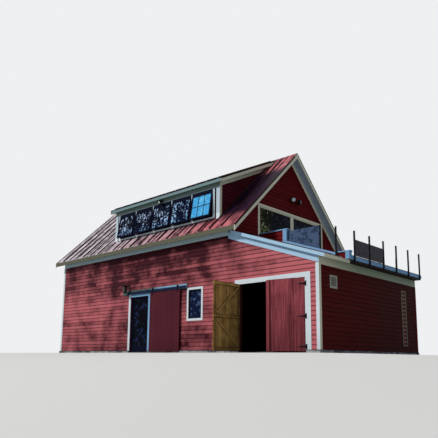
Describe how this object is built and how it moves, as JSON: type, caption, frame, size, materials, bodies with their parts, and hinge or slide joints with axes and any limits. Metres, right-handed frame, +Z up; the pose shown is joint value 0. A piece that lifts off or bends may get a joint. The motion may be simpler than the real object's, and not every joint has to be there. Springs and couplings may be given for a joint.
{
  "type": "barn",
  "caption": "Red clapboard barn with a steep metal roof, a wide dormer, a lean-to with a roof deck, a sliding door and a pair of hinged barn doors.",
  "frame": {"origin": "middle of the whole object's box in plan, at ground level", "axes": "+X along the front wall towards the lean-to end, +Y to the back, +Z up"},
  "size_m": [15.94, 9.0757, 8.468],
  "materials": {
    "red_siding": "matt paint on clapboards",
    "roof_metal": "satin",
    "white_trim": "satin paint",
    "foundation_stone": "rough",
    "concrete_floor": "trowelled",
    "floor_boards": "worn",
    "dark_sash": "satin paint",
    "window_glass": "polished",
    "smoked_panel": "polished",
    "dark_metal": "satin",
    "red_door": "matt paint",
    "door_wood": "bare inside, red paint outside"
  },
  "bodies": {
    "house": {"front_wall_left": "red_siding", "front_wall_entry_head": "red_siding", "front_wall_middle": "red_siding", "lean_to_front_post": "red_siding", "barn_door_head": "red_siding", "front_wall_right": "red_siding", "back_wall": "red_siding", "lean_to_back_wall": "red_siding", "lean_to_side_wall": "red_siding", "left_gable_wall": "red_siding", "right_gable_wall": "red_siding", "dormer_front_wall": "red_siding", "dormer_cheeks": "red_siding", "deck_front_wall": "red_siding", "main_roof_front": "roof_metal", "main_roof_back": "roof_metal", "ridge_cap": "roof_metal", "dormer_roof": "roof_metal", "lean_to_roof": "roof_metal", "eave_trim": "white_trim", "rake_boards": "white_trim", "front_corner_boards": "white_trim", "back_corner_boards": "red_siding", "lean_to_trim": "white_trim", "deck_trim": "white_trim", "dormer_trim": "white_trim", "front_window_frame": "white_trim", "gable_window_frame": "white_trim", "side_vent": "white_trim", "side_strip": "white_trim", "door_trim": "white_trim", "roof_edging": "roof_metal", "slide_track": "white_trim", "foundation": "foundation_stone", "ground_floor": "concrete_floor", "loft_floor": "floor_boards", "deck_floor": "floor_boards", "dormer_sashes": "dark_sash", "front_window_sash": "dark_sash", "dormer_glass": "window_glass", "front_window_glass": "window_glass", "gable_window_glass": "window_glass", "deck_front_panel": "smoked_panel", "deck_side_panels": "smoked_panel", "deck_posts": "dark_metal", "door_pintles": "dark_metal", "entry_door_hinges": "dark_metal", "door_lantern": "dark_metal", "flood_lamps": "dark_metal"},
    "barn_door_left_leaf": {"barn_door_left": "door_wood", "barn_door_left_hinges": "dark_metal"},
    "barn_door_right_leaf": {"barn_door_right": "door_wood", "barn_door_right_hinges": "dark_metal"},
    "sliding_door_panel": {"sliding_door": "red_door", "sliding_door_hangers": "dark_metal"},
    "entry_door_leaf": {"entry_door": "dark_sash", "entry_door_glass": "window_glass"}
  },
  "joints": [
    {"name": "barn_door_left_hinge", "type": "hinge", "parent": "house", "child": "barn_door_left_leaf", "pos_m": [4.32, -3.687, 1.18], "axis": [0, 0, -1], "range_deg": [-88, 82]},
    {"name": "barn_door_right_hinge", "type": "hinge", "parent": "house", "child": "barn_door_right_leaf", "pos_m": [7.11, -3.687, 1.18], "axis": [0, 0, 1], "range_deg": [-9, 161]},
    {"name": "sliding_door_slide", "type": "slide", "parent": "house", "child": "sliding_door_panel", "axis": [-1, 0, 0], "range_m": [0, 1.7]},
    {"name": "entry_door_hinge", "type": "hinge", "parent": "house", "child": "entry_door_leaf", "pos_m": [-1.962, -3.537, 1.25], "axis": [0, 0, 1], "range_deg": [0, 95]}
  ]
}
